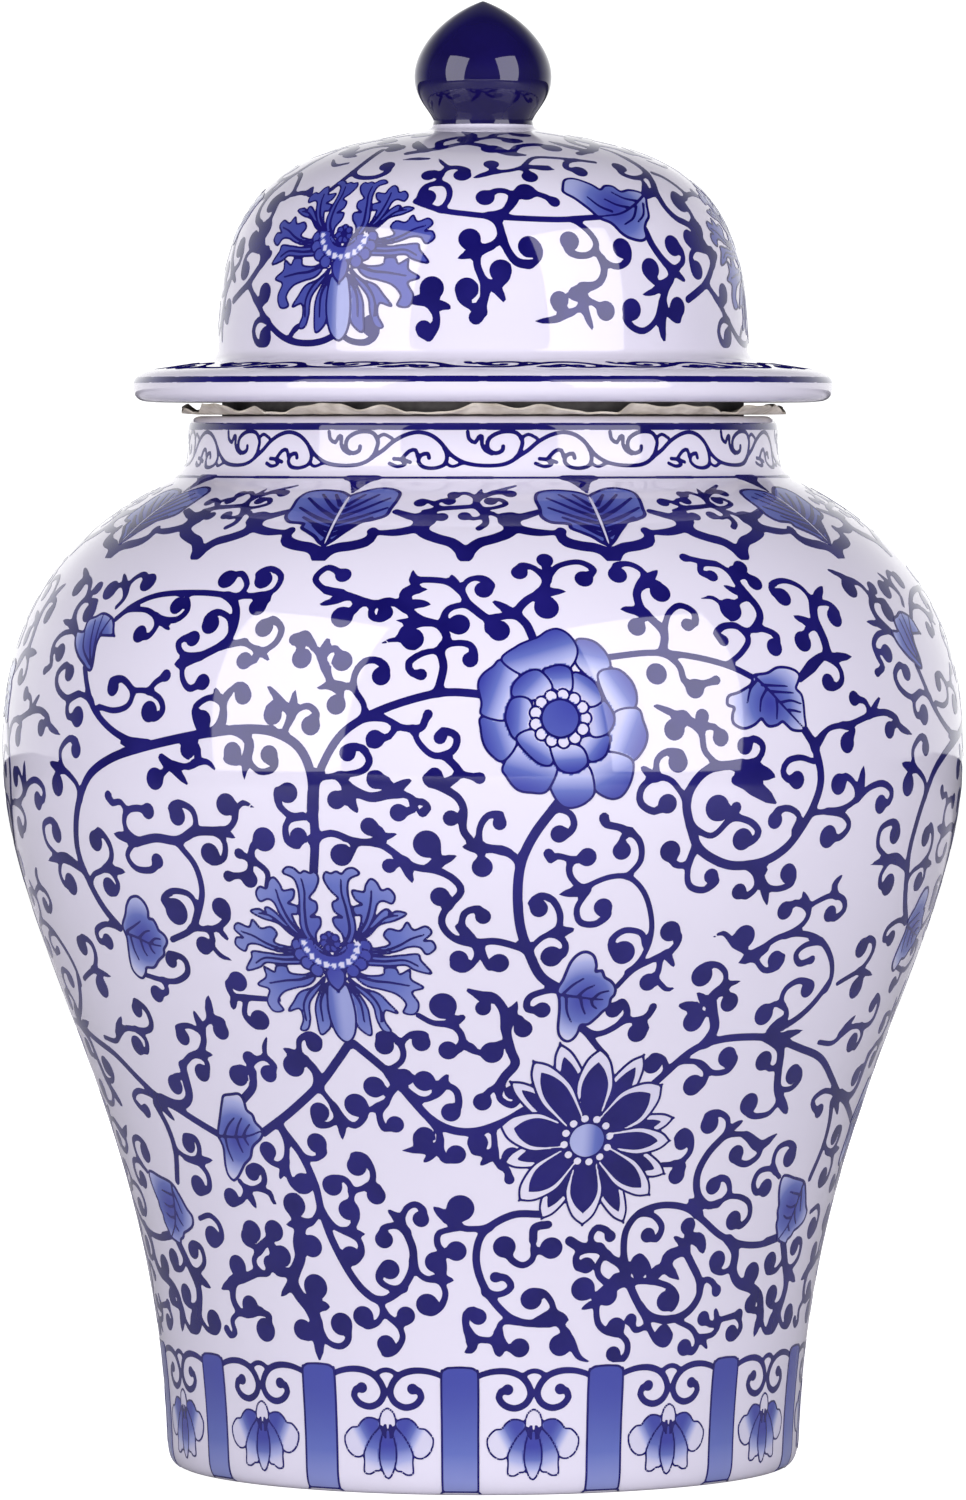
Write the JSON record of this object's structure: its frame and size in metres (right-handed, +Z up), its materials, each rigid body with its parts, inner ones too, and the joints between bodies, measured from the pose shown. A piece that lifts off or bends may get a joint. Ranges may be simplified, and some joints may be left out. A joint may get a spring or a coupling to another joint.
{
  "type": "covered ginger jar",
  "caption": "Baluster ceramic jar with a domed, brimmed lid on a soft rim liner, a bud knob, and painted flower scrolls in blue on white.",
  "frame": {"origin": "centre of the foot, on the surface that the jar stands on", "axes": "+Z up along the jar's axis of turning; -Y towards the viewer of the front"},
  "size_m": [0.231, 0.231, 0.3516],
  "materials": {
    "white_glaze": "glossy clear glaze over white porcelain",
    "cobalt_glaze": "glossy dark cobalt blue under clear glaze",
    "blue_wash": "glossy mid blue wash under clear glaze",
    "bare_clay": "matt unglazed porcelain of the foot ring",
    "liner_cloth": "thin cream felted packing cloth, crumpled"
  },
  "bodies": {
    "jar": {"jar_body": "white_glaze"},
    "liner": {"rim_liner": "liner_cloth"},
    "lid": {"lid_shell": "white_glaze", "locating_ring": "white_glaze", "lid_knob": "cobalt_glaze"}
  },
  "joints": [
    {"name": "liner_lift", "type": "slide", "parent": "jar", "child": "liner", "axis": [0, 0, 1], "range_m": [0, 0.04]},
    {"name": "lid_lift", "type": "slide", "parent": "liner", "child": "lid", "axis": [0, 0, 1], "range_m": [0, 0.08]}
  ]
}
